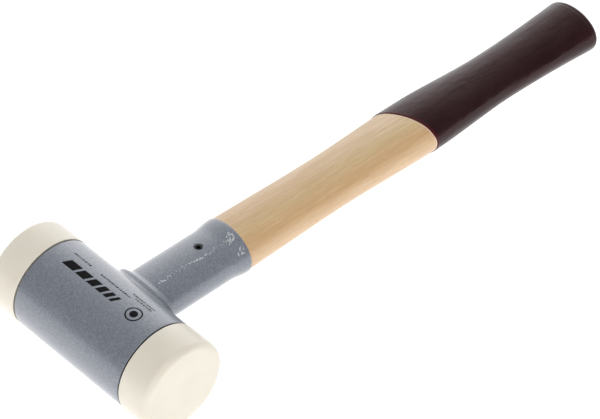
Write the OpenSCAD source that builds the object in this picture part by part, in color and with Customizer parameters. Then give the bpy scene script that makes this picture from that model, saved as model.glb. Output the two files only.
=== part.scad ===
// Dead-blow soft-face mallet: a steel tube head filled with loose shot, two nylon faces,
// an oval steel socket welded to the head, and a dipped hickory handle held by a spring pin.
// The mallet lies on its side: X is the head's axis, Y runs up the handle, Z is up.

/* [Head] */
// Outer diameter of the steel head tube
head_d = 60; // [50:1:70]
// Length of the steel head tube
head_tube_l = 90.6; // [85:0.1:100]
// Length over both striking faces
head_l = 138; // [134:1:145]
// Bore diameter of the shot chamber in the middle of the tube
chamber_d = 52; // [44:1:54]
// Bore diameter of the two ends, which take a disc and a face each
end_bore_d = 53.2; // [53:0.1:54]
// Radius on the outer edge of the tube's rims
rim_round = 0.6; // [0.6:0.1:1.6]

/* [Nylon faces] */
// How far each face stands proud of the tube, on the radius
face_proud = 0.25; // [0:0.05:0.5]
// Radius round the edge of each striking face
face_edge_r = 4; // [2:0.5:6]
// Width of the dark seam groove between the face and the tube
seam_w = 1; // [0.3:0.1:1.2]
// Depth of the seam groove
seam_depth = 2.2; // [0.5:0.1:2.5]
// Length of the face's spigot inside the tube
spigot_l = 19; // [16:0.5:20]
// Radial running clearance between spigot ribs and tube
spigot_clear = 0.08; // [0.02:0.01:0.1]
// Diameter of the hollow core in the face's spigot
core_d = 26; // [16:1:34]
// Depth of the hollow core from the spigot's end
core_depth = 26; // [10:1:30]

/* [Shot chamber] */
// Distance between the two chamber discs
chamber_l = 40; // [36:1:42]
// Thickness of each chamber disc
disc_t = 3; // [2:0.5:4]
// Thickness of the snap ring behind each disc
snap_ring_t = 1.5; // [1.2:0.1:2]
// Diameter of one ball of the shot charge
shot_d = 7.3; // [6.5:0.1:7.3]
// Number of ball layers along the head
shot_layers = 3; // [2:1:4]

/* [Socket] */
// Width of the oval socket, along the head
socket_w = 38.5; // [34:0.5:42]
// Thickness of the oval socket
socket_t = 30.8; // [27:0.2:34]
// Wall of the socket
socket_wall = 1.6; // [1.2:0.1:2]
// Distance from the head's axis to the socket's mouth
mouth_y = 98.5; // [90:0.5:110]
// How far the mouth flares outwards on each side
mouth_flare = 1.45; // [0.8:0.05:1.6]
// Distance from the head's axis to the spring pin
pin_y = 74; // [60:1:80]
// Diameter of the spring pin
pin_d = 5; // [4:0.5:6]

/* [Handle] */
// Distance from the head's axis to the end of the handle
handle_end_y = 403; // [380:1:420]
// Width of the handle just outside the socket
throat_w = 40.3; // [38:0.1:42]
// Width of the handle at its narrow part
narrow_w = 37.8; // [34:0.1:40]
// Width of the handle at the swell
swell_w = 41.7; // [40:0.1:46]
// Width of the handle at the waist of the grip
waist_w = 36; // [32:0.1:40]
// Width of the handle at the end knob
knob_w = 41.6; // [38:0.1:48]
// Thickness of the dip coating
coat_t = 0.4; // [0.3:0.05:0.8]
// Distance from the head's axis to the coating's edge
coat_y = 246; // [240:1:260]

/* [Hidden] */

head_r = head_d / 2;
face_r = head_r + face_proud;
chamber_r = chamber_d / 2;
end_bore_r = end_bore_d / 2;
tube_half = head_tube_l / 2;
face_half = head_l / 2;

// Gap between parts of one body that only touch
touch = 0.03;
// Running gap of the balls in the shot charge
shot_gap = 0.05;
// How far a snap ring reaches into the tube's wall, and how far it covers the disc
snap_groove = 1.1;
snap_cover = 3;
// Play of the snap ring in its groove
snap_play = 0.1;
// Spigot ribs: how many, how high and how long each is
rib_count = 3;
rib_h = 0.45;
rib_l = 2.6;
// Chamfer on the back edge of each face and on the bore's rim
small_chamfer = 0.5;
// The pin's ends stay this far below the socket's surface
pin_recess = 0.9;
// Wall and slot of the rolled spring pin
pin_wall = 1;
pin_slot = 0.9;
pin_hole_play = 0.1;
// The handle starts this far above the head tube
handle_foot_gap = 1.5;

// Sides round the oval, and rings along the handle
sides = 48;
handle_rings = 44;
coat_rings = 24;
mouth_rings = 8;
end_rings = 6;

// Stations along the handle, from the head's axis
throat_y = 90;
narrow_y = 178;
swell_y = 256;
waist_y = 326;
knob_y = handle_end_y - 5;
// Width of the section divided by its thickness at those stations
throat_oval = 1.25;
narrow_oval = 1.3;
swell_oval = 1.4;
knob_oval = 1.37;
// The knob flares slowly at first, then faster
knob_power = 1.8;
// Rounding of the knob's end: length along the handle and inset of its rim
end_round_l = 4;
end_round_in = 4;
// Length over which the socket opens to its mouth
mouth_l = 14;
// Wall left at the mouth's rim
mouth_wall = 0.7;
// Slope of the coating's edge across the width and through the thickness
coat_slope_x = 0.45;
coat_slope_z = -0.02;
// Length over which that slope fades out
coat_fade = 40;

// How far the collar reaches out from the socket, along the head and across it
collar_reach = [5.4, 1.7];
// Collar section: [share of that reach, height above the head tube]
collar_section = [[0.01, 0.6], [1, 0.6], [1, 2.8], [1.02, 3.2], [0.9, 3.85], [0.55, 4.5], [0.2, 5.35],
                  [0.01, 6.2]];
// Bead section: [distance from the collar's wall, height above the head tube]
bead_section = [[0.1, 0.1], [0.9, 0.12], [1.9, 0.06], [0.95, 0.45], [0.4, 0.85], [0.1, 1.3]];

// Turn about X that lays the knob's widest ring on the floor beside the head
rest_y = handle_end_y - end_round_l;
rest_t = knob_w / knob_oval / 2 + coat_t;
rest_tilt = asin(face_r / norm([rest_y, rest_t])) - atan2(rest_t, rest_y);

function smooth(t) = t * t * (3 - 2 * t);
function between(y, y0, y1) = max(0, min(1, (y - y0) / (y1 - y0)));
function lerp(a, b, t) = a + (b - a) * t;

// Half width of the bare handle above its throat
function free_half_w(y) =
    y < narrow_y ? lerp(throat_w, narrow_w, smooth(between(y, throat_y, narrow_y))) / 2
    : y < swell_y ? lerp(narrow_w, swell_w, smooth(between(y, narrow_y, swell_y))) / 2
    : y < waist_y ? lerp(swell_w, waist_w, smooth(between(y, swell_y, waist_y))) / 2
    : lerp(waist_w, knob_w, pow(between(y, waist_y, knob_y), knob_power)) / 2;
function oval(y) =
    y < narrow_y ? lerp(throat_oval, narrow_oval, between(y, throat_y, narrow_y))
    : y < swell_y ? lerp(narrow_oval, swell_oval, between(y, narrow_y, swell_y))
    : lerp(swell_oval, knob_oval, between(y, waist_y, knob_y));
// Inward rounding of the knob's rim
function end_inset(y) =
    let(t = between(y, handle_end_y - end_round_l, handle_end_y))
    end_round_in * (1 - sqrt(max(0, 1 - t * t)));
// Inside of the socket at y: straight, then opening towards the mouth
function mouth_open(y) = smooth(between(y, mouth_y - mouth_l, mouth_y));
function socket_out(y) = mouth_flare * mouth_open(y);
function socket_in(y) = socket_out(y) - lerp(socket_wall, mouth_wall, mouth_open(y));

// Half axes [x, z] of the bare handle, with extra material all round
function handle_axes(y, extra) =
    let(fit = socket_in(y) - touch)
    y <= mouth_y ? [socket_w / 2 + fit + extra, socket_t / 2 + fit + extra]
    : let(out = between(y, mouth_y, mouth_y + 2))
      [lerp(socket_w / 2 + socket_in(mouth_y), free_half_w(y), out) - end_inset(y) + extra,
       lerp(socket_t / 2 + socket_in(mouth_y), free_half_w(y) / oval(y), out) - end_inset(y) + extra];

// One ring of points round the handle's axis; slope tips the ring
function ring(axes, y, slope = [0, 0]) =
    [for (i = [0:sides - 1])
        let(a = 360 * i / sides, x = axes[0] * cos(a), z = axes[1] * sin(a))
        [x, y + slope[0] * x + slope[1] * z, z]];
// The same, with each point on the handle's own surface at its own height
function surface_ring(y, extra, slope) =
    [for (i = [0:sides - 1])
        let(a = 360 * i / sides,
            rough = handle_axes(y, extra),
            py = y + slope[0] * rough[0] * cos(a) + slope[1] * rough[1] * sin(a),
            axes = handle_axes(py, extra))
        [axes[0] * cos(a), py, axes[1] * sin(a)]];
// A ring that lies on a cylinder round the head's axis; out is [x, z] beyond the socket
function saddle_ring(out, height) =
    [for (i = [0:sides - 1])
        let(a = 360 * i / sides,
            x = (socket_w / 2 + out[0]) * cos(a),
            z = (socket_t / 2 + out[1]) * sin(a))
        [x, sqrt(pow(head_r + height, 2) - z * z), z]];

// Stations round the knob's end, on the coating's outside
end_stations = [for (k = [0:end_rings]) handle_end_y - end_round_l * (1 - sin(90 * k / end_rings))];

function ring_faces(n, closed) =
    [for (k = [0:closed ? n - 1 : n - 2], i = [0:sides - 1])
        let(j = (i + 1) % sides, l = (k + 1) % n)
        each [[k * sides + i, k * sides + j, l * sides + j],
              [k * sides + i, l * sides + j, l * sides + i]]];

// A solid skinned over rings in order of y, with flat ends
module loft(rings) {
    n = len(rings);
    caps = [[for (i = [sides - 1:-1:0]) i], [for (i = [0:sides - 1]) (n - 1) * sides + i]];
    polyhedron(points = [for (r = rings) each r], faces = concat(ring_faces(n, false), caps));
}
// A closed ring skinned over section rings that run round a loop
module loop_loft(rings) {
    polyhedron(points = [for (r = rings) each r], faces = ring_faces(len(rings), true));
}

// Everything is drawn with the head's axis on X and the handle along Y, then laid down
// with the middle of its length over the origin
far_end_y = max([for (y = end_stations) y * cos(rest_tilt) + handle_axes(y, coat_t)[1] * sin(rest_tilt)]);
rest_shift = (face_r - far_end_y) / 2;
module laid_down() {
    translate([0, rest_shift, face_r]) rotate([-rest_tilt, 0, 0]) children();
}
// Turns a profile [radius, distance along the head] into a body of revolution on X
module on_head_axis() {
    rotate([0, 90, 0]) rotate_extrude($fn = 128) children();
}
// The far side is the near side turned half round the handle
module far_side() {
    mirror([1, 0, 0]) children();
}

module head_housing() {
    color("slategray") laid_down() on_head_axis() difference() {
        union() {
            translate([0, -tube_half + rim_round]) square([head_r, head_tube_l - 2 * rim_round]);
            translate([0, -tube_half]) square([head_r - rim_round, head_tube_l]);
            for (s = [-1, 1]) {
                translate([head_r - rim_round, s * (tube_half - rim_round)])
                    circle(r = rim_round, $fn = 48);
            }
        }
        translate([-1, -head_tube_l]) square([chamber_r + 1, 2 * head_tube_l]);
        for (s = [0, 1]) mirror([0, s]) {
            translate([-1, chamber_l / 2]) square([end_bore_r + 1, head_tube_l]);
            translate([-1, chamber_l / 2 + disc_t])
                square([end_bore_r + snap_groove + 1, snap_ring_t + 2 * snap_play]);
            translate([0, tube_half]) polygon([[end_bore_r - 1, -1 - small_chamfer],
                [end_bore_r, -small_chamfer], [end_bore_r + small_chamfer, 0],
                [end_bore_r + small_chamfer, 1], [end_bore_r - 1, 1]]);
        }
    }
}

// Striking face with its spigot, ribs, seam groove and hollow core
module face_body() {
    spigot_r = end_bore_r - spigot_clear;
    spigot_end = tube_half - spigot_l;
    rib_pitch = spigot_l / (rib_count + 0.5);
    laid_down() on_head_axis() difference() {
        union() {
            translate([0, spigot_end]) square([spigot_r - rib_h, spigot_l + seam_w]);
            for (k = [0:rib_count - 1]) translate([0, spigot_end + 1 + k * rib_pitch])
                polygon([[0, 0], [spigot_r - rib_h, 0], [spigot_r, rib_l * 0.6],
                         [spigot_r, rib_l], [0, rib_l]]);
            translate([0, tube_half]) square([face_r - seam_depth, seam_w + 1]);
            translate([0, tube_half + seam_w]) polygon([[0, 0], [face_r - small_chamfer, 0],
                [face_r, small_chamfer], [face_r, face_half - face_edge_r - tube_half - seam_w],
                [face_r - face_edge_r, face_half - tube_half - seam_w],
                [0, face_half - tube_half - seam_w]]);
            translate([face_r - face_edge_r, face_half - face_edge_r])
                circle(r = face_edge_r, $fn = 96);
        }
        translate([-1, spigot_end - 1]) square([core_d / 2 + 1, core_depth + 1]);
    }
}
module near_face() {
    color("ivory") face_body();
}
module far_face() {
    color("ivory") far_side() face_body();
}

module disc_body() {
    laid_down() translate([chamber_l / 2 + touch, 0, 0]) rotate([0, 90, 0])
        cylinder(r = end_bore_r - touch, h = disc_t - 2 * touch, $fn = 96);
}
module near_chamber_disc() {
    color("gainsboro") disc_body();
}
module far_chamber_disc() {
    color("gainsboro") far_side() disc_body();
}

// An open ring with a gap between its two ends
module snap_ring_body() {
    outer = end_bore_r + snap_groove - snap_play;
    laid_down() translate([chamber_l / 2 + disc_t + snap_play, 0, 0]) rotate([0, 90, 0])
        difference() {
            cylinder(r = outer, h = snap_ring_t, $fn = 96);
            translate([0, 0, -1]) cylinder(r = end_bore_r - snap_cover, h = snap_ring_t + 2, $fn = 96);
            translate([0, -snap_cover, -1]) cube([outer + 1, 2 * snap_cover, snap_ring_t + 2]);
        }
}
module near_snap_ring() {
    color("dimgray") snap_ring_body();
}
module far_snap_ring() {
    color("dimgray") far_side() snap_ring_body();
}

// Balls in hexagonal layers: a centre ball and three rings of six, twelve and eighteen
module steel_shot() {
    pitch = shot_d + shot_gap;
    color("silver") laid_down()
        for (layer = [0:shot_layers - 1], u = [-3:3], v = [-3:3]) if (abs(u + v) <= 3)
            translate([(layer - (shot_layers - 1) / 2) * pitch, (u + v / 2) * pitch,
                       v * pitch * sqrt(3) / 2])
                sphere(d = shot_d, $fn = 32);
}

module pin_hole(d) {
    translate([0, pin_y, -socket_t]) cylinder(d = d, h = 2 * socket_t, $fn = 48);
}

module socket_tube() {
    outer = concat([saddle_ring([0, 0], touch)], [ring([socket_w / 2, socket_t / 2], mouth_y - mouth_l)],
        [for (k = [1:mouth_rings])
            let(y = mouth_y - mouth_l * (1 - k / mouth_rings))
            ring([socket_w / 2 + socket_out(y), socket_t / 2 + socket_out(y)], y)]);
    inner = concat([saddle_ring([-socket_wall, -socket_wall], touch)],
        [ring([socket_w / 2 - socket_wall, socket_t / 2 - socket_wall], mouth_y - mouth_l)],
        [for (k = [1:mouth_rings])
            let(y = mouth_y - mouth_l * (1 - k / mouth_rings))
            ring([socket_w / 2 + socket_in(y), socket_t / 2 + socket_in(y)], y)]);
    n = len(outer);
    color("slategray") laid_down() difference() {
        loop_loft(concat(outer, [for (k = [n - 1:-1:0]) inner[k]]));
        pin_hole(pin_d + 2 * pin_hole_play);
    }
}

module socket_collar() {
    color("slategray") laid_down()
        loop_loft([for (p = collar_section) saddle_ring(p[0] * collar_reach, p[1])]);
}

module weld_bead() {
    color("slategray") laid_down()
        loop_loft([for (p = bead_section) saddle_ring(collar_reach + [p[0], p[0]], p[1])]);
}

module handle() {
    foot_y = head_r + handle_foot_gap;
    socket_part = [foot_y, mouth_y - mouth_l];
    flare_part = [for (k = [1:mouth_rings]) mouth_y - mouth_l * (1 - k / mouth_rings)];
    free_part = [for (k = [0:handle_rings]) lerp(mouth_y + 2, knob_y, k / handle_rings)];
    end_part = [for (y = end_stations) y - coat_t];
    stations = concat(socket_part, flare_part, free_part, end_part);
    color("burlywood") laid_down() difference() {
        loft([for (y = stations) ring(handle_axes(y + (y > knob_y ? coat_t : 0), 0), y)]);
        pin_hole(pin_d);
    }
}

// Dip coating: a closed cup over the grip with a slanted edge
module grip_coating() {
    slope = [coat_slope_x, coat_slope_z];
    stations = [for (k = [0:coat_rings]) lerp(coat_y, knob_y, k / coat_rings)];
    outer = concat(
        [for (y = stations) surface_ring(y, coat_t, slope * (1 - between(y, coat_y, coat_y + coat_fade)))],
        [for (y = end_stations) ring(handle_axes(y, coat_t), y)]);
    inner = concat(
        [for (y = stations) surface_ring(y, touch, slope * (1 - between(y, coat_y, coat_y + coat_fade)))],
        [for (y = end_stations) ring(handle_axes(y, touch), y - coat_t + touch)]);
    n = len(outer);
    wall = ring_faces(2 * n, true);
    // The ring that would join the two closed ends is left out, and each end is capped
    kept = [for (k = [0:2 * n - 1]) if (k != n - 1) each
        [for (f = [0:2 * sides - 1]) wall[2 * sides * k + f]]];
    caps = [[for (i = [0:sides - 1]) (n - 1) * sides + i], [for (i = [sides - 1:-1:0]) n * sides + i]];
    rings = concat(outer, [for (k = [n - 1:-1:0]) inner[k]]);
    color([0.2, 0.12, 0.13]) laid_down()
        polyhedron(points = [for (r = rings) each r], faces = concat(kept, caps));
}

// Rolled spring pin through the socket and the handle
module spring_pin() {
    half = socket_t / 2 - pin_recess;
    color("dimgray") laid_down() translate([0, pin_y, -half]) difference() {
        cylinder(d = pin_d, h = 2 * half, $fn = 48);
        translate([0, 0, -1]) cylinder(d = pin_d - 2 * pin_wall, h = 2 * half + 2, $fn = 48);
        translate([0, -pin_slot / 2, -1]) cube([pin_d, pin_slot, 2 * half + 2]);
    }
}

head_housing();
near_face();
far_face();
near_chamber_disc();
far_chamber_disc();
near_snap_ring();
far_snap_ring();
steel_shot();
socket_tube();
socket_collar();
weld_bead();
handle();
grip_coating();
spring_pin();
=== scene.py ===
"""The looks of a dead-blow soft-face mallet that lies on its side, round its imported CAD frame.

Shapes are written in millimetres in the mallet's own axes: the origin is the head's centre, X is
the head's axis, Y runs up the handle and Z is the thin way through the handle. make_piece() turns
them into metres and lays them down where the frame has them.
"""
import math
import random

import bmesh
import bpy
from mathutils import Matrix, Vector, noise


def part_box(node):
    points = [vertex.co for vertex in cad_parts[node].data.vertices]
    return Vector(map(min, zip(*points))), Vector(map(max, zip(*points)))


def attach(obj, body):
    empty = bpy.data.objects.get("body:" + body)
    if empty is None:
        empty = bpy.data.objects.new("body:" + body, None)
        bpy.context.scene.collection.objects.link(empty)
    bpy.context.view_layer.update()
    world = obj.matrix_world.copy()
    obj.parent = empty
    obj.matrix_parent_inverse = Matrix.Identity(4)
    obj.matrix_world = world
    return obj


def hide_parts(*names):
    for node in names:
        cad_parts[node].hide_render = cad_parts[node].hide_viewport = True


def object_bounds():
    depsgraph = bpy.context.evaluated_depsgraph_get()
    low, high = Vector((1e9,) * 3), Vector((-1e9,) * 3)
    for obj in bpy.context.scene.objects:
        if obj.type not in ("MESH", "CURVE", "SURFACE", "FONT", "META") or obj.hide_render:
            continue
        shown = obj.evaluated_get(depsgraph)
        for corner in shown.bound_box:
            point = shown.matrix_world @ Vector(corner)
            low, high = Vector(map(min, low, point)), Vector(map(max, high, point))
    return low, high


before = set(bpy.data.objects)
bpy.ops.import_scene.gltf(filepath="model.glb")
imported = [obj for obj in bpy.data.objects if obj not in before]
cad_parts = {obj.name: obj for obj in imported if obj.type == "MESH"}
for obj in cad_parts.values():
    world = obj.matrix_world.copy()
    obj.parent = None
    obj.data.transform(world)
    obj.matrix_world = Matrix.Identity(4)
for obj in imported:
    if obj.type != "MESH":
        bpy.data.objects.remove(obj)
cad_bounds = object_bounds()

MM = 0.001
TAU = 2 * math.pi

# ---------------------------------------------------------------- sizes taken from the frame


def box_mm(node):
    low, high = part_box(node)
    return low / MM, high / MM


housing_low, housing_high = box_mm("head_housing")
face_low, face_high = box_mm("near_face")
disc_low, disc_high = box_mm("near_chamber_disc")
ring_low, ring_high = box_mm("near_snap_ring")
pin_low, pin_high = box_mm("spring_pin")

HEAD_CENTRE = (housing_low + housing_high) / 2
HEAD_R = (housing_high.z - housing_low.z) / 2
TUBE_HALF = (housing_high.x - housing_low.x) / 2
FACE_R = (face_high.z - face_low.z) / 2
FACE_HALF = face_high.x
SPIGOT_END = face_low.x
END_BORE_R = (disc_high.z - disc_low.z) / 2
CHAMBER_HALF = disc_low.x
GROOVE_R = (ring_high.z - ring_low.z) / 2
GROOVE = (ring_low.x, ring_high.x)
PIN_OFFSET = (pin_low + pin_high) / 2 - HEAD_CENTRE
PIN_Y = math.hypot(PIN_OFFSET.y, PIN_OFFSET.z)
REST_TILT = math.atan2(PIN_OFFSET.z, PIN_OFFSET.y)
LAY_DOWN = Matrix.Rotation(REST_TILT, 3, "X")

# ---------------------------------------------------------------- driving sizes, in millimetres

CHAMBER_R = 26.0
RIM_ROUND = 0.6
BORE_CHAMFER = 0.5
BORE_ROWS_L = 12.0

FACE_EDGE_R = 4.0
FACE_CHAMFER = 0.5
SEAM_W = 1.0
SEAM_DEPTH = 2.2
SPIGOT_R = 26.52
RIB_START = 1.0
RIB_H = 0.45
RIB_L = 2.6
RIB_RAMP = 0.6
RIB_COUNT = 3
CORE_R = 13.0
CORE_DEPTH = 26.0

SOCKET_W = 38.5
SOCKET_T = 30.8
SOCKET_WALL = 1.6
SOCKET_FOOT_Y = 34.0
SEAT_GAP = 0.03
MOUTH_Y = 98.5
MOUTH_FLARE = 1.45
MOUTH_L = 14.0
MOUTH_WALL = 0.7
PIN_HOLE_R = 2.6
PIN_HOLE_EDGE = 0.5
HANDLE_PIN_HOLE_R = 2.5
HOLE_TOP_INSET = 0.1
DRILL_PAST = 2.0
DRILL_SIDES = 48

OVAL_SIDES = 144
HANDLE_FOOT_Y = 31.5
HANDLE_PLAY = 0.03
SHOULDER_L = 2.0
HANDLE_END_Y = 403.0
THROAT_Y, THROAT_W, THROAT_OVAL = 90.0, 40.3, 1.25
NARROW_Y, NARROW_W, NARROW_OVAL = 178.0, 37.8, 1.3
SWELL_Y, SWELL_W, SWELL_OVAL = 256.0, 41.7, 1.4
WAIST_Y, WAIST_W = 326.0, 36.0
KNOB_Y, KNOB_W, KNOB_OVAL, KNOB_POWER = 398.0, 41.6, 1.37, 1.8
END_ROUND_L = 4.0
END_ROUND_IN = 4.0
COAT_T = 0.4
COAT_INSIDE = 0.03
COAT_END_GAP = 0.05
COAT_LIP_L = 5.0
COAT_WAVER = 0.35
COAT_Y = 246.0
COAT_SLOPE_X = 0.45
COAT_SLOPE_Z = -0.02
COAT_FADE = 40.0
HOLLOW_FROM_END = 4.62
HOLLOW_HALF_W = 0.55
HOLLOW_DEPTH = 0.18
FINE_END_L = 6.6

# ---------------------------------------------------------------- mesh helpers

# Points closer than this are one point, in metres: in a fresh mesh, and after a cut
MERGE_DISTANCE = 1e-7
CUT_TOLERANCE = 5e-6
# Edges that bend by more than this many degrees stay sharp
SHARP_ANGLE = 32
SADDLE_SHARP_ANGLE = 60
COAT_SHARP_ANGLE = 50


def make_piece(name, meshes, body, material, nodes=(), sharp_angle=SHARP_ANGLE):
    """One object from [(points, faces)], riding on a body and standing for CAD nodes."""
    bm = bmesh.new()
    for points, faces in meshes:
        verts = [bm.verts.new(LAY_DOWN @ Vector(p) * MM) for p in points]
        for face in faces:
            bm.faces.new([verts[i] for i in face])
    bmesh.ops.remove_doubles(bm, verts=bm.verts, dist=MERGE_DISTANCE)
    bmesh.ops.dissolve_degenerate(bm, edges=bm.edges, dist=MERGE_DISTANCE)
    bmesh.ops.recalc_face_normals(bm, faces=bm.faces)
    smooth_by_angle(bm, sharp_angle)
    mesh = bpy.data.meshes.new(name)
    bm.to_mesh(mesh)
    bm.free()
    piece = bpy.data.objects.new(name, mesh)
    bpy.context.scene.collection.objects.link(piece)
    piece.location = HEAD_CENTRE * MM
    mesh.materials.append(material)
    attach(piece, body)
    if nodes:
        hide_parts(*nodes)
    return piece


def smooth_by_angle(bm, sharp_angle):
    limit = math.radians(sharp_angle)
    for face in bm.faces:
        face.smooth = True
    for edge in bm.edges:
        edge.smooth = len(edge.link_faces) == 2 and edge.calc_face_angle(0) < limit


def skin(rings, loop=False, caps=False):
    """Points and faces over a list of rings with equal counts."""
    n, count = len(rings[0]), len(rings)
    points = [p for ring in rings for p in ring]
    faces = []
    for k in range(count if loop else count - 1):
        a, b = k * n, (k + 1) % count * n
        faces += [(a + i, a + (i + 1) % n, b + (i + 1) % n, b + i) for i in range(n)]
    if caps:
        faces += [tuple(range(n))[::-1], tuple(range((count - 1) * n, count * n))]
    return points, faces


def revolve(profile, sides=224, loop=True):
    """A body of revolution round the head's axis from (x, radius) pairs."""
    circle = [(math.cos(TAU * i / sides), math.sin(TAU * i / sides)) for i in range(sides)]
    return skin([[(x, r * c, r * s) for c, s in circle] for x, r in profile], loop=loop)


def arc(x, r, radius, start, end, steps=10):
    """(x, radius) points round a corner; angles in degrees from the head's axis outwards."""
    angles = [math.radians(start + (end - start) * k / steps) for k in range(steps + 1)]
    return [(x + radius * math.cos(a), r + radius * math.sin(a)) for a in angles]


def mirrored(points_and_faces):
    points, faces = points_and_faces
    return [(-x, y, z) for x, y, z in points], faces


def spread(low, high, count):
    return [low + (high - low) * k / count for k in range(count + 1)]


def lerp(a, b, t):
    return a + (b - a) * t


def smooth(t):
    return t * t * (3 - 2 * t)


def between(y, low, high):
    return max(0.0, min(1.0, (y - low) / (high - low)))


# ---------------------------------------------------------------- the handle's shape


def free_half_width(y):
    """Half the handle's width outside the socket, before its end is rounded."""
    if y < NARROW_Y:
        return lerp(THROAT_W, NARROW_W, smooth(between(y, THROAT_Y, NARROW_Y))) / 2
    if y < SWELL_Y:
        return lerp(NARROW_W, SWELL_W, smooth(between(y, NARROW_Y, SWELL_Y))) / 2
    if y < WAIST_Y:
        return lerp(SWELL_W, WAIST_W, smooth(between(y, SWELL_Y, WAIST_Y))) / 2
    return lerp(WAIST_W, KNOB_W, between(y, WAIST_Y, KNOB_Y) ** KNOB_POWER) / 2


def oval(y):
    """The handle's width over its thickness."""
    if y < NARROW_Y:
        return lerp(THROAT_OVAL, NARROW_OVAL, between(y, THROAT_Y, NARROW_Y))
    if y < SWELL_Y:
        return lerp(NARROW_OVAL, SWELL_OVAL, between(y, NARROW_Y, SWELL_Y))
    return lerp(SWELL_OVAL, KNOB_OVAL, between(y, WAIST_Y, KNOB_Y))


def end_inset(y):
    t = between(y, HANDLE_END_Y - END_ROUND_L, HANDLE_END_Y)
    return END_ROUND_IN * (1 - math.sqrt(max(0.0, 1 - t * t)))


def mouth_open(y):
    """How far the socket has flared at y: 0 below its mouth and 1 at it."""
    return smooth(between(y, MOUTH_Y - MOUTH_L, MOUTH_Y))


def socket_outside(y):
    return MOUTH_FLARE * mouth_open(y)


def socket_inside(y):
    return socket_outside(y) - lerp(SOCKET_WALL, MOUTH_WALL, mouth_open(y))


def handle_axes(y, extra=0.0):
    """Half width and half thickness of the bare handle, with extra all round."""
    fit = socket_inside(min(y, MOUTH_Y)) - HANDLE_PLAY
    inside = (SOCKET_W / 2 + fit, SOCKET_T / 2 + fit)
    if y <= MOUTH_Y:
        return inside[0] + extra, inside[1] + extra
    out = between(y, MOUTH_Y, MOUTH_Y + SHOULDER_L)
    width = free_half_width(y)
    inset = end_inset(y)
    return (lerp(inside[0], width, out) - inset + extra,
            lerp(inside[1], width / oval(y), out) - inset + extra)


def oval_ring(half_width, half_thickness, y, sides=OVAL_SIDES):
    return [(half_width * math.cos(TAU * i / sides), y, half_thickness * math.sin(TAU * i / sides))
            for i in range(sides)]


def surface_point(angle, y, lift):
    """A point on the handle's surface, lifted off it."""
    half_width, half_thickness = handle_axes(y, lift)
    return half_width * math.cos(angle), y, half_thickness * math.sin(angle)


def saddle_ring(out_x, out_z, height, sides=192, ripple=None):
    """A ring round the socket that lies on a cylinder round the head."""
    ring = []
    for i in range(sides):
        a = TAU * i / sides
        extra = ripple(a) if ripple else 0.0
        x = (SOCKET_W / 2 + out_x + extra) * math.cos(a)
        z = (SOCKET_T / 2 + out_z + extra) * math.sin(a)
        ring.append((x, math.sqrt((HEAD_R + height + extra) ** 2 - z * z), z))
    return ring


# ---------------------------------------------------------------- material helpers


def fill_ramp(ramp, stops):
    """Sets a colour ramp's (place, colour) stops, which go from low to high."""
    elements = ramp.elements
    elements[1].position, elements[1].color = stops[-1]
    elements[0].position, elements[0].color = stops[0]
    for place, colour in stops[1:-1]:
        elements.new(place).color = colour


def feed(links, socket, value):
    """Links a socket to another node's output, or sets it to a constant."""
    if isinstance(value, bpy.types.NodeSocket):
        links.new(value, socket)
    else:
        socket.default_value = value


def add_math(nodes, links, operation, values):
    made = nodes.new("ShaderNodeMath")
    made.operation = operation
    for socket, value in zip(made.inputs, values):
        feed(links, socket, value)
    return made.outputs["Value"]


class Paint:
    """A material's node tree with one Principled shader, and short ways to add to it."""

    def __init__(self, name, **values):
        self.material = bpy.data.materials.new(name)
        self.material.use_nodes = True
        self.nodes = self.material.node_tree.nodes
        self.links = self.material.node_tree.links
        self.shader = self.nodes["Principled BSDF"]
        for socket, value in values.items():
            self.shader.inputs[socket.replace("_", " ")].default_value = value
        laid_down = self.nodes.new("ShaderNodeTexCoord").outputs["Object"]
        self.coords = self.stretched((1, 1, 1), (-REST_TILT, 0, 0), vector=laid_down)

    def add(self, kind, inputs=None, **settings):
        made = self.nodes.new("ShaderNode" + kind)
        for key, value in settings.items():
            setattr(made, key, value)
        for key, value in (inputs or {}).items():
            feed(self.links, made.inputs[key], value)
        return made

    def stretched(self, scale, rotation=(0, 0, 0), location=(0, 0, 0), vector=None):
        return self.add("Mapping", {"Vector": vector or self.coords, "Scale": scale,
                                    "Rotation": rotation, "Location": location}).outputs["Vector"]

    def noise(self, vector, scale=1.0, detail=3.0, roughness=0.5, distortion=0.0):
        made = self.add("TexNoise", {"Vector": vector, "Scale": scale, "Detail": detail,
                                     "Roughness": roughness, "Distortion": distortion})
        return made.outputs["Fac"]

    def ramp(self, factor, stops, interpolation="LINEAR"):
        made = self.add("ValToRGB", {"Fac": factor})
        made.color_ramp.interpolation = interpolation
        fill_ramp(made.color_ramp, [(place, (*colour, 1)) for place, colour in stops])
        return made.outputs["Color"]

    def grey_ramp(self, factor, stops):
        return self.ramp(factor, [(place, (v, v, v)) for place, v in stops])

    def mix(self, factor, a, b, blend="MIX"):
        made = self.add("Mix", data_type="RGBA", blend_type=blend)
        for socket, value in ((made.inputs[0], factor), (made.inputs[6], a), (made.inputs[7], b)):
            feed(self.links, socket, value)
        return made.outputs[2]

    def math(self, operation, a, b=0.0):
        return add_math(self.nodes, self.links, operation, (a, b))

    def drive(self, socket, value):
        self.links.new(value, self.shader.inputs[socket])

    def bump(self, height, distance_mm, strength=1.0, normal=None):
        inputs = {"Height": height, "Distance": distance_mm * MM, "Strength": strength}
        if normal is not None:
            inputs["Normal"] = normal
        return self.add("Bump", inputs).outputs["Normal"]


# ---------------------------------------------------------------- materials


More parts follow.
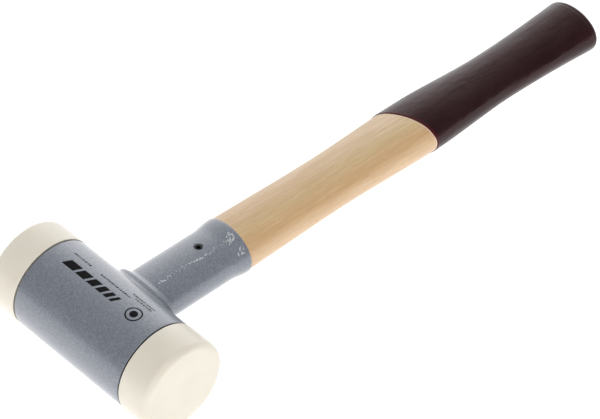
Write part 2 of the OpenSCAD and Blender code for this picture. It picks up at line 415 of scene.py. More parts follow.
def coated_steel():
    """Slate powder coat with a fine hammertone mottle and a satin skin."""
    paint = Paint("coated_steel", Metallic=0.15, Coat_Weight=0.9, Coat_Roughness=0.25,
                  Coat_IOR=1.6)
    mottle = paint.noise(paint.coords, 950, 3, 0.55, 0.4)
    patches = paint.noise(paint.coords, 260, 2, 0.5)
    flecks = paint.add("TexVoronoi", {"Vector": paint.coords, "Scale": 1500}).outputs["Distance"]
    colour = paint.ramp(mottle, [(0.32, (0.117, 0.132, 0.164)), (0.52, (0.164, 0.182, 0.220)),
                                 (0.70, (0.225, 0.248, 0.293))])
    colour = paint.mix(paint.grey_ramp(patches, [(0.35, 0.0), (0.7, 0.35)]), colour,
                       (0.195, 0.213, 0.252, 1))
    colour = paint.mix(paint.grey_ramp(flecks, [(0.05, 0.22), (0.22, 0.0)]), colour,
                       (0.32, 0.345, 0.39, 1))
    paint.drive("Base Color", colour)
    paint.drive("Roughness", paint.grey_ramp(mottle, [(0.3, 0.40), (0.7, 0.52)]))
    fine = paint.bump(paint.noise(paint.coords, 2300, 2, 0.5), 0.03, 0.5)
    paint.drive("Normal", paint.bump(mottle, 0.09, 0.6, fine))
    return paint.material


def bare_steel():
    """Turned steel inside the tube, with fine lathe rings round the head's axis."""
    paint = Paint("bare_steel", Metallic=1.0, Anisotropic=0.3)
    rings = paint.noise(paint.stretched((5200, 40, 40)), 1, 2, 0.5)
    stain = paint.noise(paint.coords, 120, 4, 0.6)
    paint.drive("Base Color", paint.mix(paint.grey_ramp(stain, [(0.45, 0.0), (0.75, 0.6)]),
                                        (0.42, 0.42, 0.43, 1), (0.24, 0.22, 0.20, 1)))
    paint.drive("Roughness", paint.grey_ramp(rings, [(0.3, 0.26), (0.7, 0.48)]))
    paint.drive("Normal", paint.bump(rings, 0.02, 0.5))
    return paint.material


def bright_steel():
    """Plain steel of the discs and the shot, with a light brushed grain."""
    paint = Paint("bright_steel", Metallic=1.0)
    grain = paint.noise(paint.stretched((400, 60, 3800)), 1, 3, 0.6)
    smear = paint.noise(paint.coords, 180, 3, 0.5)
    paint.drive("Base Color", paint.ramp(smear, [(0.3, (0.50, 0.50, 0.51)),
                                                 (0.7, (0.66, 0.66, 0.66))]))
    paint.drive("Roughness", paint.grey_ramp(grain, [(0.3, 0.22), (0.7, 0.42)]))
    paint.drive("Normal", paint.bump(grain, 0.012, 0.4))
    return paint.material


def spring_steel():
    """Blackened spring steel with the odd worn bright spot, also laid on the tube's end faces as
    painted shade.
    """
    paint = Paint("spring_steel", Metallic=0.9)
    wear = paint.noise(paint.coords, 700, 4, 0.6)
    paint.drive("Base Color", paint.ramp(wear, [(0.45, (0.030, 0.030, 0.032)),
                                                (0.72, (0.11, 0.11, 0.115))]))
    paint.drive("Roughness", paint.grey_ramp(wear, [(0.3, 0.5), (0.75, 0.32)]))
    paint.drive("Normal", paint.bump(paint.noise(paint.coords, 2600, 2), 0.02, 0.4))
    return paint.material


def nylon():
    """Ivory nylon: slightly translucent, with faint clouding, turning rings and light scuffs."""
    paint = Paint("nylon", Subsurface_Weight=0.35, Subsurface_Radius=(1.0, 0.85, 0.65),
                  Subsurface_Scale=2 * MM, IOR=1.5, Coat_Weight=0.15, Coat_Roughness=0.25)
    cloud = paint.noise(paint.coords, 45, 3, 0.5)
    fine = paint.noise(paint.coords, 900, 3, 0.6)
    scuffs = paint.noise(paint.stretched((160, 900, 420), (0.5, 0.3, 0.7)), 1, 4, 0.7, 0.8)
    colour = paint.ramp(cloud, [(0.3, (0.722, 0.672, 0.572)), (0.7, (0.760, 0.715, 0.622))])
    colour = paint.mix(paint.grey_ramp(scuffs, [(0.68, 0.0), (0.80, 0.30)]), colour,
                       (0.62, 0.58, 0.51, 1))
    # Painted shade in the seam between the face and the tube: the groove is darkened where shadow
    # falls
    along = paint.math("ABSOLUTE", paint.add("SeparateXYZ", {0: paint.coords}).outputs["X"])
    seam = paint.add("MapRange", {"Value": along, "From Min": (TUBE_HALF - 0.1) * MM,
                                  "From Max": (TUBE_HALF + SEAM_W + 0.1) * MM}).outputs["Result"]
    painted_seam_shade = paint.grey_ramp(seam, [(0.01, 0.0), (0.05, 0.92), (0.9, 0.92), (0.99, 0.0)])
    colour = paint.mix(painted_seam_shade, colour, (0.34, 0.325, 0.28, 1))
    paint.drive("Base Color", colour)
    paint.drive("Roughness", paint.mix(paint.grey_ramp(scuffs, [(0.62, 0.0), (0.8, 1.0)]),
                                       paint.grey_ramp(fine, [(0.3, 0.36), (0.7, 0.44)]),
                                       (0.6, 0.6, 0.6, 1)))
    across = paint.add("VectorMath", {0: paint.stretched((0, 1, 1))}, operation="LENGTH")
    rings = paint.math("SINE", paint.math("MULTIPLY", across.outputs["Value"], TAU / (0.55 * MM)))
    turned = paint.bump(rings, 0.006, 0.35)
    paint.drive("Normal", paint.bump(fine, 0.02, 0.4, turned))
    return paint.material


def coating_edge(paint):
    """How far a point lies up the handle from the coating's slanting edge, in metres."""
    parts = paint.add("SeparateXYZ", {0: paint.coords}).outputs
    slant = paint.math("MULTIPLY", parts["X"], COAT_SLOPE_X)
    return paint.math("SUBTRACT", paint.math("SUBTRACT", parts["Y"], slant), COAT_Y * MM)


def near_edge(paint, low, high, strength):
    """Strength from low to high millimetres past the coating's edge, and 0 elsewhere."""
    span = high - low
    place = paint.add("MapRange", {"Value": coating_edge(paint), "From Min": low * MM,
                                   "From Max": high * MM})
    soft = min(0.35, 0.3 / span)
    return paint.grey_ramp(place.outputs["Result"], [(0.02, 0.0), (soft, strength),
                                                     (1 - soft, strength), (0.98, 0.0)])


def hickory():
    """Light lacquered hickory: broad layers across its width, soft bands, fibres and pores."""
    paint = Paint("hickory", Coat_Weight=0.6, Coat_Roughness=0.34, IOR=1.45)
    wobble = paint.noise(paint.stretched((16, 4.0, 16)), 1, 2, 0.5)
    across = paint.add("SeparateXYZ", {0: paint.coords}).outputs["X"]
    layer = paint.math("ADD", across, paint.math("MULTIPLY", wobble, 10 * MM))
    # From one edge of the handle's width to the other
    place = paint.add("MapRange", {"Value": layer, "From Min": -17 * MM, "From Max": 26 * MM})
    colour = paint.ramp(place.outputs["Result"], [
        (0.05, (0.62, 0.45, 0.265)), (0.18, (0.53, 0.345, 0.175)), (0.30, (0.64, 0.46, 0.275)),
        (0.46, (0.645, 0.468, 0.298)), (0.60, (0.625, 0.465, 0.268)), (0.72, (0.61, 0.455, 0.236)),
        (0.83, (0.605, 0.400, 0.205)), (0.90, (0.575, 0.360, 0.175)), (0.96, (0.66, 0.45, 0.255))])
    warm = paint.noise(paint.stretched((26, 7, 26), location=(0.4, 0.2, 0.1)), 1, 3, 0.5)
    colour = paint.mix(paint.grey_ramp(warm, [(0.46, 0.0), (0.68, 0.55)]), colour,
                       (0.575, 0.365, 0.175, 1))
    patches = paint.noise(paint.stretched((170, 26, 170)), 1, 3, 0.6)
    bands = paint.math("SINE", paint.math("MULTIPLY", layer, TAU / (2.6 * MM)))
    stripes = paint.math("MULTIPLY", paint.grey_ramp(bands, [(0.1, 0.0), (0.9, 0.16)]),
                         paint.grey_ramp(patches, [(0.42, 0.0), (0.62, 1.0)]))
    colour = paint.mix(stripes, colour, (0.44, 0.27, 0.13, 1))
    colour = paint.mix(paint.grey_ramp(patches, [(0.30, 0.26), (0.50, 0.0)]), colour,
                       (0.50, 0.325, 0.155, 1))
    fibres = paint.noise(paint.stretched((700, 34, 700)), 1, 4, 0.6)
    colour = paint.mix(paint.grey_ramp(fibres, [(0.38, 0.22), (0.54, 0.0)]), colour,
                       (0.46, 0.29, 0.14, 1))
    colour = paint.mix(paint.grey_ramp(fibres, [(0.54, 0.0), (0.74, 0.26)]), colour,
                       (0.78, 0.62, 0.43, 1))
    pores = paint.noise(paint.stretched((1300, 130, 1300)), 1, 2, 0.55)
    colour = paint.mix(paint.grey_ramp(pores, [(0.26, 0.36), (0.39, 0.0)]), colour,
                       (0.30, 0.17, 0.08, 1))
    # A pale line of thick lacquer where the coating begins
    colour = paint.mix(near_edge(paint, -1.3, 0.6, 0.55), colour, (0.83, 0.62, 0.49, 1))
    paint.drive("Base Color", colour)
    paint.drive("Roughness", paint.grey_ramp(fibres, [(0.3, 0.54), (0.7, 0.44)]))
    grain = paint.bump(fibres, 0.05, 0.35)
    paint.drive("Normal", paint.bump(pores, 0.05, 0.35, grain))
    return paint.material


def dip_coating():
    """Aubergine-brown dip coating with a warm, patchy sheen, rippled by the grain under it."""
    paint = Paint("dip_coating", Specular_IOR_Level=0.30, Specular_Tint=(1.0, 0.70, 0.72, 1))
    grain = paint.noise(paint.stretched((330, 13, 330)), 1, 3, 0.55)
    peel = paint.noise(paint.coords, 330, 2, 0.5)
    cloud = paint.noise(paint.stretched((75, 26, 75)), 1, 3, 0.55)
    colour = paint.ramp(cloud, [(0.3, (0.0115, 0.0020, 0.0026)), (0.7, (0.0185, 0.0040, 0.0050))])
    colour = paint.mix(paint.grey_ramp(grain, [(0.5, 0.0), (0.75, 0.45)]), colour,
                       (0.036, 0.009, 0.010, 1))
    # The thin edge of the dip lets the wood's colour through, and the same warm band is painted
    # light that lifts the lip out of its shade
    colour = paint.mix(near_edge(paint, -0.8, 1.9, 0.9), colour, (0.052, 0.004, 0.006, 1))
    paint.drive("Base Color", colour)
    paint.drive("Roughness", paint.grey_ramp(cloud, [(0.32, 0.17), (0.68, 0.34)]))
    soft = paint.bump(cloud, 1.2, 0.75, paint.bump(peel, 0.05, 0.35))
    paint.drive("Normal", paint.bump(grain, 0.18, 0.5, soft))
    return paint.material


def print_ink():
    """Black pad-printed ink, a little uneven."""
    paint = Paint("print_ink", Specular_IOR_Level=0.05)
    patches = paint.noise(paint.coords, 900, 3, 0.6)
    paint.drive("Base Color", paint.ramp(patches, [(0.3, (0.003, 0.003, 0.0035)),
                                                   (0.75, (0.012, 0.012, 0.014))]))
    paint.drive("Roughness", paint.grey_ramp(patches, [(0.3, 0.42), (0.7, 0.6)]))
    return paint.material


def chipped_primer():
    """Pale primer where the coating has been knocked off."""
    paint = Paint("chipped_primer")
    patches = paint.noise(paint.coords, 1600, 3, 0.6)
    paint.drive("Base Color", paint.ramp(patches, [(0.3, (0.36, 0.38, 0.41)),
                                                   (0.65, (0.66, 0.68, 0.70))]))
    paint.drive("Roughness", paint.grey_ramp(patches, [(0.3, 0.5), (0.7, 0.7)]))
    return paint.material


COATED = coated_steel()
BARE = bare_steel()
BRIGHT = bright_steel()
SPRING_STEEL_AND_GAP_SHADE = spring_steel()
NYLON = nylon()
HICKORY = hickory()
DIPPED = dip_coating()
INK = print_ink()
PRIMER = chipped_primer()

# ---------------------------------------------------------------- head


def housing_profile():
    """Half of the tube's section, from the middle of its outside to the middle of its bore."""
    groove_low, groove_high = GROOVE
    return ([(x, HEAD_R) for x in spread(0, TUBE_HALF - RIM_ROUND, 14)[:-1]]
            + arc(TUBE_HALF - RIM_ROUND, HEAD_R - RIM_ROUND, RIM_ROUND, 90, 0)
            + [(TUBE_HALF, END_BORE_R + BORE_CHAMFER), (TUBE_HALF - BORE_CHAMFER, END_BORE_R)]
            + [(x, END_BORE_R) for x in spread(groove_high + BORE_ROWS_L, groove_high, 4)]
            + [(groove_high, GROOVE_R), (groove_low, GROOVE_R), (groove_low, END_BORE_R),
               (CHAMBER_HALF, END_BORE_R), (CHAMBER_HALF, CHAMBER_R), (0, CHAMBER_R)])


def build_housing():
    half = housing_profile()
    profile = half + [(-x, r) for x, r in half[::-1] if x > 0]
    piece = make_piece("head_tube", [revolve(profile)], "head", COATED,
                       ["head_housing"])
    # Coated outside and turned bright inside; the two end faces, down in the seam's gap, get the
    # dark steel as painted shade
    piece.data.materials.append(BARE)
    piece.data.materials.append(SPRING_STEEL_AND_GAP_SHADE)
    inside_r = (END_BORE_R + BORE_CHAMFER + 0.2) * MM
    end_x = (TUBE_HALF - 0.01) * MM
    for face in piece.data.polygons:
        if math.hypot(face.center.y, face.center.z) < inside_r:
            face.material_index = 1
        elif abs(face.center.x) > end_x:
            face.material_index = 2


def face_profile():
    """The near face's section: front, rounded edge, seam groove, ribbed spigot, hollow core."""
    rib_pitch = (TUBE_HALF - SPIGOT_END) / (RIB_COUNT + 0.5)
    seam_r = FACE_R - SEAM_DEPTH
    back = TUBE_HALF + SEAM_W
    flat_r = FACE_R - FACE_EDGE_R
    profile = [(FACE_HALF, r) for r in spread(0, flat_r, 14)[:-1]]
    profile += arc(FACE_HALF - FACE_EDGE_R, flat_r, FACE_EDGE_R, 0, 90, 16)
    profile += [(x, FACE_R) for x in spread(FACE_HALF - FACE_EDGE_R, back + FACE_CHAMFER, 8)[1:-1]]
    profile += arc(back + FACE_CHAMFER, FACE_R - FACE_CHAMFER, FACE_CHAMFER, 90, 180, 5)
    profile += [(back, seam_r), (TUBE_HALF, seam_r), (TUBE_HALF, SPIGOT_R - RIB_H)]
    for k in range(RIB_COUNT - 1, -1, -1):
        start = SPIGOT_END + RIB_START + k * rib_pitch
        profile += [(start + RIB_L, SPIGOT_R - RIB_H), (start + RIB_L, SPIGOT_R),
                    (start + RIB_L * RIB_RAMP, SPIGOT_R), (start, SPIGOT_R - RIB_H)]
    profile += [(SPIGOT_END, SPIGOT_R - RIB_H), (SPIGOT_END, CORE_R)]
    profile += [(SPIGOT_END + CORE_DEPTH, CORE_R), (SPIGOT_END + CORE_DEPTH, 0)]
    return profile


def build_faces():
    near = revolve(face_profile(), loop=False)
    make_piece("near_nylon_face", [near], "near_face", NYLON, ["near_face"])
    make_piece("far_nylon_face", [mirrored(near)], "far_face", NYLON, ["far_face"])


# ---------------------------------------------------------------- socket, collar and weld

# How far the collar reaches out from the socket, along the head and across it
COLLAR_REACH = (5.4, 1.7)
# (share of that reach, height above the head tube)
COLLAR_SECTION = [(0.01, 0.6), (1.0, 0.6), (1.0, 2.8), (1.02, 3.2), (0.99, 3.55), (0.9, 3.85),
                  (0.75, 4.15), (0.55, 4.5), (0.36, 4.9), (0.2, 5.35), (0.08, 5.8), (0.01, 6.2)]
# (distance from the collar's wall, height above the head tube)
BEAD_SECTION = [(0.05, 0.05), (0.9, 0.1), (1.9, 0.02), (1.4, 0.2), (0.95, 0.4), (0.55, 0.7),
                (0.22, 1.05), (0.05, 1.3)]
BEAD_RIPPLES = 46
BEAD_RIPPLE_H = 0.05
BEAD_WAVER = 0.12


def build_collar():
    def ripple(angle):
        slow = noise.noise(Vector((math.cos(angle), math.sin(angle), 0.3)) * 2.5)
        fine = BEAD_RIPPLE_H * math.sin(BEAD_RIPPLES * angle + 2 * slow)
        return fine + BEAD_WAVER * slow - BEAD_WAVER

    reach_x, reach_z = COLLAR_REACH
    collar = [saddle_ring(share * reach_x, share * reach_z, height)
              for share, height in COLLAR_SECTION]
    make_piece("collar_ring", [skin(collar, loop=True)], "head", COATED,
               ["socket_collar"], sharp_angle=SADDLE_SHARP_ANGLE)
    bead = [saddle_ring(reach_x + out, reach_z + out, height,
                        ripple=ripple if 0.2 < out < 1.6 and height > 0.2 else None)
            for out, height in BEAD_SECTION]
    make_piece("collar_weld", [skin(bead, loop=True)], "head", COATED,
               ["weld_bead"], sharp_angle=SADDLE_SHARP_ANGLE)


def socket_rings():
    rim = MOUTH_WALL / 2
    straight = spread(SOCKET_FOOT_Y, MOUTH_Y - MOUTH_L, 30)
    opening = spread(MOUTH_Y - MOUTH_L, MOUTH_Y - rim, 16)[1:]
    outside = [saddle_ring(0, 0, SEAT_GAP, OVAL_SIDES)]
    outside += [oval_ring(SOCKET_W / 2 + socket_outside(y), SOCKET_T / 2 + socket_outside(y), y)
                for y in straight + opening]
    edge = []
    for degrees in (30, 60, 90, 120, 150):
        a = math.radians(degrees)
        out = socket_outside(MOUTH_Y) - rim + rim * math.cos(a)
        y = MOUTH_Y - rim + rim * math.sin(a)
        edge.append(oval_ring(SOCKET_W / 2 + out, SOCKET_T / 2 + out, y))
    inside = [oval_ring(SOCKET_W / 2 + socket_inside(y), SOCKET_T / 2 + socket_inside(y), y)
              for y in (straight + opening)[::-1]]
    inside += [saddle_ring(-SOCKET_WALL, -SOCKET_WALL, SEAT_GAP, OVAL_SIDES)]
    return outside + edge + inside


def build_socket():
    piece = make_piece("socket", [skin(socket_rings(), loop=True)], "head", COATED,
                       ["socket_tube"])
    # The hole's edges are softened, as the coating rounds them
    drill_pin_hole(piece, PIN_HOLE_R, PIN_HOLE_EDGE)


def drill_pin_hole(piece, radius, edge):
    """Cuts the pin's hole through a piece, opening by edge where it meets the socket's surface."""
    past, top = SOCKET_T / 2 + DRILL_PAST, SOCKET_T / 2 - HOLE_TOP_INSET
    profile = [(-past, 0), (-past, radius + edge), (-top, radius + edge), (-top + edge, radius),
               (top - edge, radius), (top, radius + edge), (past, radius + edge), (past, 0)]
    points, faces = revolve(profile, DRILL_SIDES, loop=False)
    upright = [(y, PIN_Y + z, x) for x, y, z in points]
    cutter = make_piece("pin_hole_cutter", [(upright, faces)], "head", COATED)
    cut = piece.modifiers.new("pin_hole", "BOOLEAN")
    cut.object = cutter
    cut.operation = "DIFFERENCE"
    cut.solver = "EXACT"
    apply_modifiers(piece)
    bpy.data.objects.remove(cutter)


def apply_modifiers(piece):
    bpy.context.view_layer.update()
    evaluated = piece.evaluated_get(bpy.context.evaluated_depsgraph_get())
    mesh = bpy.data.meshes.new_from_object(evaluated)
    piece.modifiers.clear()
    piece.data = mesh
    bm = bmesh.new()
    bm.from_mesh(mesh)
    bmesh.ops.remove_doubles(bm, verts=bm.verts, dist=CUT_TOLERANCE)
    bmesh.ops.triangulate(bm, faces=[face for face in bm.faces if len(face.verts) > 4])
    bmesh.ops.dissolve_degenerate(bm, edges=bm.edges, dist=CUT_TOLERANCE)
    smooth_by_angle(bm, SHARP_ANGLE)
    bm.to_mesh(mesh)
    bm.free()


# ---------------------------------------------------------------- handle and its coating


def end_rows(count):
    """Places along the handle's rounded end, closer together towards its tip."""
    return [HANDLE_END_Y - END_ROUND_L * (1 - math.sin(math.pi / 2 * k / count))
            for k in range(count + 1)]


def build_handle():
    stations = spread(HANDLE_FOOT_Y, MOUTH_Y - MOUTH_L, 12)
    stations += spread(MOUTH_Y - MOUTH_L, MOUTH_Y, 8)[1:]
    stations += spread(MOUTH_Y + 0.5, MOUTH_Y + 2.5, 4)
    stations += spread(MOUTH_Y + 4, KNOB_Y, 150)
    rings = [oval_ring(*handle_axes(y), y) for y in stations]
    # The rounded end, shorter than the whole by the coating's thickness
    for y in end_rows(8):
        rings.append(oval_ring(*handle_axes(y), y - COAT_T))
    piece = make_piece("hickory_handle", [skin(rings, caps=True)], "head", HICKORY,
                       ["handle"])
    drill_pin_hole(piece, HANDLE_PIN_HOLE_R, 0)


def coating_point(angle, y, lift):
    """A point of the coating's skin, whose edge runs slantwise round the handle and wavers."""
    fade = 1 - between(y, COAT_Y, COAT_Y + COAT_FADE)
    x, _, z = surface_point(angle, y, lift)
    waver = COAT_WAVER * noise.noise(Vector((math.cos(angle), math.sin(angle), 0.7)) * 2.2)
    own_y = y + fade * (COAT_SLOPE_X * x + COAT_SLOPE_Z * z + waver)
    return surface_point(angle, own_y, lift)


def end_roll(y):
    """A fine hollow round the knob, which leaves a roll between it and the rounded end."""
    from_hollow = HANDLE_END_Y - y - HOLLOW_FROM_END
    return -HOLLOW_DEPTH * math.exp(-(from_hollow / HOLLOW_HALF_W) ** 2)


def closed_end(ring):
    """Ever smaller rings that fill the flat oval end."""
    return [[(x * share, y, z * share) for x, y, z in ring]
            for share in (0.93, 0.8, 0.6, 0.4, 0.2, 0.0)]


def build_coating():
    angles = [TAU * i / OVAL_SIDES for i in range(OVAL_SIDES)]
    lip_end, round_start = COAT_Y + COAT_LIP_L, HANDLE_END_Y - END_ROUND_L
    fine_start = HANDLE_END_Y - FINE_END_L
    rounding = end_rows(12)[1:]
    # (distance from the edge, thickness): the dip ends in a rounded lip
    lip = [(0.0, 0.06), (0.12, 0.2), (0.35, 0.33), (0.7, 0.42), (1.2, 0.45), (2.2, 0.42),
           (3.5, COAT_T)]
    outer = [[coating_point(a, COAT_Y + d, t) for a in angles] for d, t in lip]
    outer += [[coating_point(a, y, COAT_T + end_roll(y)) for a in angles]
              for y in spread(lip_end, fine_start, 90) + spread(fine_start, round_start, 12)[1:]]
    outer += [[surface_point(a, y, COAT_T + end_roll(y)) for a in angles] for y in rounding]
    inner = [[coating_point(a, y, COAT_INSIDE) for a in angles]
             for y in [COAT_Y] + spread(lip_end, round_start, 90)]
    # The inside of the end lies close to the wood, which is shorter by the coating's thickness
    shift = COAT_T - COAT_END_GAP
    inner += [[(x, y - shift, z) for x, y, z in (surface_point(a, y, COAT_INSIDE) for a in angles)]
              for y in rounding]
    outer += closed_end(outer[-1])
    inner += closed_end(inner[-1])
    make_piece("grip_skin", [skin(outer + inner[::-1]), skin([inner[0], outer[0]])],
               "head", DIPPED, ["grip_coating"], sharp_angle=COAT_SHARP_ANGLE)


# ---------------------------------------------------------------- print and wear on the coating


INK_LIFT = 0.03
SCUFF_LIFT = 0.025
# The socket's radius where the scuffs lie, near enough to turn millimetres into degrees
SPECK_TURN_R = SOCKET_T / 2 + 2
SINK = 0.04
# The middle of the printed strip, round the tube from its top away from the handle
PRINT_ARC = 1.0
BARS_X = -31.0
BAR_WIDTHS = (9.6, 7.6, 6.0, 4.6, 3.4, 2.4)
BAR_HEIGHT, BAR_SLANT, BAR_GAP = 5.6, 3.0, 1.9
RING_X, RING_R, RING_WALL, DOT_R = 27.0, 5.4, 0.9, 2.6
# (from, to) along the tube and the place round it
DASH_ROWS = ((-33.5, -19.0, -7.2), (-10.0, 15.5, -6.9), (13.5, 32.0, -11.2), (17.5, 32.0, -8.9))
DASH_HEIGHT, DASH_SLANT = 1.25, 0.3


def on_head(x, arc_mm, lift):
    """A point on the head tube: x along it, arc_mm round it from the top away from the handle."""
    angle = math.pi / 2 + arc_mm / HEAD_R
    r = HEAD_R + lift
    return x, r * math.cos(angle), r * math.sin(angle)


def strip(pairs, place, lift, closed=False):
    """A thin strip over rows of (left, right) points, laid on a surface by place(u, v, lift)."""
    rings = [[place(*left, lift), place(*right, lift), place(*right, -SINK), place(*left, -SINK)]
             for left, right in pairs]
    return skin(rings, loop=closed, caps=not closed)


def slanted_bar(x, width, height, slant, middle):
    pairs = []
    for t in spread(0, 1, 12):
        left = x - width / 2 + slant * (t - 0.5)
        v = middle + height * (0.5 - t)
        pairs.append(((left, v), (left + width, v)))
    return strip(pairs, on_head, INK_LIFT)


def disc(x, middle, radius):
    rows = [radius * math.sin(math.radians(d)) for d in range(-84, 85, 7)]
    pairs = [((x - h, middle + v), (x + h, middle + v))
             for v, h in ((v, math.sqrt(radius * radius - v * v)) for v in rows)]
    return strip(pairs, on_head, INK_LIFT)


def ring(x, middle, radius, wall):
    turns = [TAU * k / 64 for k in range(64)]
    pairs = [tuple((x + r * math.cos(a), middle + r * math.sin(a)) for r in (radius, radius - wall))
             for a in turns]
    return strip(pairs, on_head, INK_LIFT, closed=True)


def build_print():
    # A row of plain slanted bars that get narrower, as a decorative stripe
    bars = []
    x = BARS_X
    for width in BAR_WIDTHS:
        bars.append(slanted_bar(x + width / 2, width, BAR_HEIGHT, BAR_SLANT, PRINT_ARC))
        x += width + BAR_GAP
    # A plain ring with a dot in it
    bars.append(ring(RING_X, PRINT_ARC, RING_R, RING_WALL))
    bars.append(disc(RING_X, PRINT_ARC, DOT_R))
    make_piece("print_stripe", bars, "head", INK)
    # Rows of short dashes where small print would be
    rng = random.Random(7)
    dashes = []
    for start, end, middle in DASH_ROWS:
        x = start
        while x < end - 0.6:
            length = rng.uniform(0.4, 1.3)
            width = min(length, end - x)
            dashes.append(slanted_bar(x + length / 2, width, DASH_HEIGHT, DASH_SLANT, middle))
            x += length + rng.uniform(0.45, 0.85)
    make_piece("print_dashes", dashes, "head", INK)


def on_socket(x_angle, y, lift):
    """A point on the socket: an angle round it in degrees from its near edge, and a height."""
    a = math.radians(x_angle)
    out = socket_outside(y) + lift
    return (SOCKET_W / 2 + out) * math.cos(a), y, (SOCKET_T / 2 + out) * math.sin(a)


def speck(rng, angle, y, size, stretch, turn):
    """A small ragged patch; size in millimetres, longest along turn degrees."""
    c, s = math.cos(math.radians(turn)), math.sin(math.radians(turn))
    pairs = []
    for t in spread(-0.95, 0.95, 6):
        half = size * math.sqrt(1 - t * t)
        sides = []
        for edge in (-rng.uniform(0.4, 1.0) * half, rng.uniform(0.4, 1.0) * half):
            along_y, round_mm = size * stretch * t * c - edge * s, size * stretch * t * s + edge * c
            sides.append((angle + math.degrees(round_mm / SPECK_TURN_R), y + along_y))
        pairs.append(tuple(sides))
    return strip(pairs, on_socket, SCUFF_LIFT)


SCUFF_LINE = (37.0, 95.5)
# (angle round the socket, its spread, from, to, count, direction of the scratches)
MOUTH_KNOCKS = ((75, 4.0, 90.5, 95.5, 20, 40), (64, 2.0, 89.0, 95.0, 12, 15),
                (37, 4.5, 90.5, 96.5, 18, 72))


def build_scuffs():
    rng = random.Random(21)
    patches = []
    # A line of knocks along the socket's upper near side
    y = SCUFF_LINE[0]
    while y < SCUFF_LINE[1]:
        line = 69 - 4 * between(y, 78, 95) + 1.8 * math.sin(y / 6.5) + rng.gauss(0, 1.6)
        strong = 0.5 + 0.5 * math.sin(y / 5.2 + 1.0)
        patches.append(speck(rng, line, y, rng.uniform(0.14, 0.34) + 0.22 * strong,
                             rng.uniform(1.1, 2.4), rng.uniform(-50, 50)))
        y += rng.uniform(0.7, 2.3)
    # Groups of knocks close to the mouth
    for middle, wide, low, high, count, turn in MOUTH_KNOCKS:
        for _ in range(count):
            patches.append(speck(rng, middle + rng.gauss(0, wide), rng.uniform(low, high),
                                 rng.uniform(0.13, 0.36), rng.uniform(1.2, 3.6),
                                 rng.gauss(turn, 18)))
    make_piece("socket_scuffs", patches, "head", PRIMER)


# ---------------------------------------------------------------- CAD nodes that stay


def dress(node, material):
    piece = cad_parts[node]
    for index in range(len(piece.material_slots)):
        piece.material_slots[index].material = material
    for face in piece.data.polygons:
        face.use_smooth = True


def dress_inner_pieces():
    for node in ("near_chamber_disc", "far_chamber_disc", "steel_shot"):
        dress(node, BRIGHT)
    for node in ("near_snap_ring", "far_snap_ring", "spring_pin"):
        dress(node, SPRING_STEEL_AND_GAP_SHADE)


# ---------------------------------------------------------------- floor, light and camera

CAMERA_AZIMUTH = 45.96
CAMERA_ELEVATION = 45.21
CAMERA_ROLL = 0.42
CAMERA_DISTANCE = 2.032
CAMERA_LENS = 199.6
# The point the camera looks at, from the middle of the mallet's box
AIM = Vector((-0.0057, -0.0233, -0.0222))

SENSOR_WIDTH = 36
CLIP_END = 50

FLOOR_SIZE = 8.0
FLOOR_GREY = 0.4
FLOOR_GLOW = 1.15
# Where the tent is brightest: low behind the mallet
BRIGHT_SIDE = Vector((-0.61, 0.77, 0.2))
# Radiance by the angle from the tent's bright side, and by the angle from the lamp at the camera
TENT = [(15, 1.9), (30, 1.35), (45, 0.95), (60, 0.64), (80, 0.38), (110, 0.3)]
FRONT_LAMP = [(18, 1.6), (30, 1.1), (42, 0.0)]
RADIANCE_MAX = 2.0


def view_direction(azimuth, elevation):
    """From the object towards a camera: azimuth 0 looks along +Y."""
    a, e = math.radians(azimuth), math.radians(elevation)
    return Vector((math.sin(a) * math.cos(e), -math.cos(a) * math.cos(e), math.sin(e)))


def build_floor():
    mesh = bpy.data.meshes.new("floor")
    h = FLOOR_SIZE / 2
    mesh.from_pydata([(-h, -h, 0), (h, -h, 0), (h, h, 0), (-h, h, 0)], [], [(0, 1, 2, 3)])
    floor = bpy.data.objects.new("floor", mesh)
    bpy.context.scene.collection.objects.link(floor)
    paint = Paint("floor", Roughness=0.9, Base_Color=(FLOOR_GREY,) * 3 + (1,),
                  Emission_Color=(1, 1, 1, 1), Emission_Strength=FLOOR_GLOW)
    mesh.materials.append(paint.material)


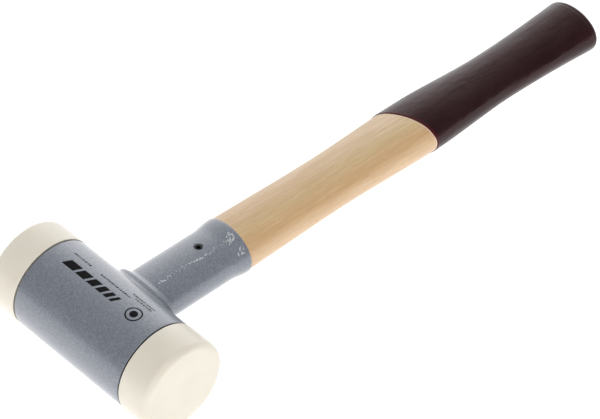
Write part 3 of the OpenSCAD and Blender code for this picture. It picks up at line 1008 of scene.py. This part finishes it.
def glow(nodes, links, direction, middle, stops):
    """Radiance by the angle in degrees between a direction and the middle of a light."""
    facing = nodes.new("ShaderNodeVectorMath")
    facing.operation = "DOT_PRODUCT"
    links.new(direction, facing.inputs[0])
    facing.inputs[1].default_value = middle.normalized()
    ramp = nodes.new("ShaderNodeValToRGB")
    place = add_math(nodes, links, "MULTIPLY_ADD", (facing.outputs["Value"], 0.5, 0.5))
    links.new(place, ramp.inputs["Fac"])
    fill_ramp(ramp.color_ramp, [(0.5 + 0.5 * math.cos(math.radians(angle)),
                                 (radiance / RADIANCE_MAX,) * 3 + (1,))
                                for angle, radiance in stops[::-1]])
    return ramp.outputs["Color"]


def build_world():
    """A white tent, bright behind the mallet and dim round the camera, with a lamp in front."""
    world = bpy.data.worlds.new("tent")
    bpy.context.scene.world = world
    world.use_nodes = True
    nodes, links = world.node_tree.nodes, world.node_tree.links
    direction = nodes.new("ShaderNodeTexCoord").outputs["Generated"]
    toward_camera = view_direction(CAMERA_AZIMUTH, CAMERA_ELEVATION)
    tent = glow(nodes, links, direction, BRIGHT_SIDE, TENT)
    lamp = glow(nodes, links, direction, toward_camera, FRONT_LAMP)
    strength = add_math(nodes, links, "MULTIPLY",
                        (add_math(nodes, links, "ADD", (tent, lamp)), RADIANCE_MAX))
    links.new(strength, nodes["Background"].inputs["Strength"])
    nodes["Background"].inputs["Color"].default_value = (1.0, 1.0, 1.0, 1)


def build_camera():
    low, high = cad_bounds
    aim = (low + high) / 2 + AIM
    data = bpy.data.cameras.new("camera")
    data.lens = CAMERA_LENS
    data.sensor_width = SENSOR_WIDTH
    data.sensor_fit = "HORIZONTAL"
    data.clip_end = CLIP_END
    camera = bpy.data.objects.new("camera", data)
    bpy.context.scene.collection.objects.link(camera)
    away = view_direction(CAMERA_AZIMUTH, CAMERA_ELEVATION)
    camera.location = aim + away * CAMERA_DISTANCE
    look = (-away).to_track_quat("-Z", "Y").to_matrix().to_4x4()
    turn = look @ Matrix.Rotation(math.radians(CAMERA_ROLL), 4, "Z")
    camera.rotation_euler = turn.to_euler()
    bpy.context.scene.camera = camera
    bpy.context.scene.view_settings.view_transform = "Standard"


build_camera()
build_world()
build_floor()
build_housing()
build_faces()
build_collar()
build_socket()
build_handle()
build_coating()
build_print()
build_scuffs()
dress_inner_pieces()
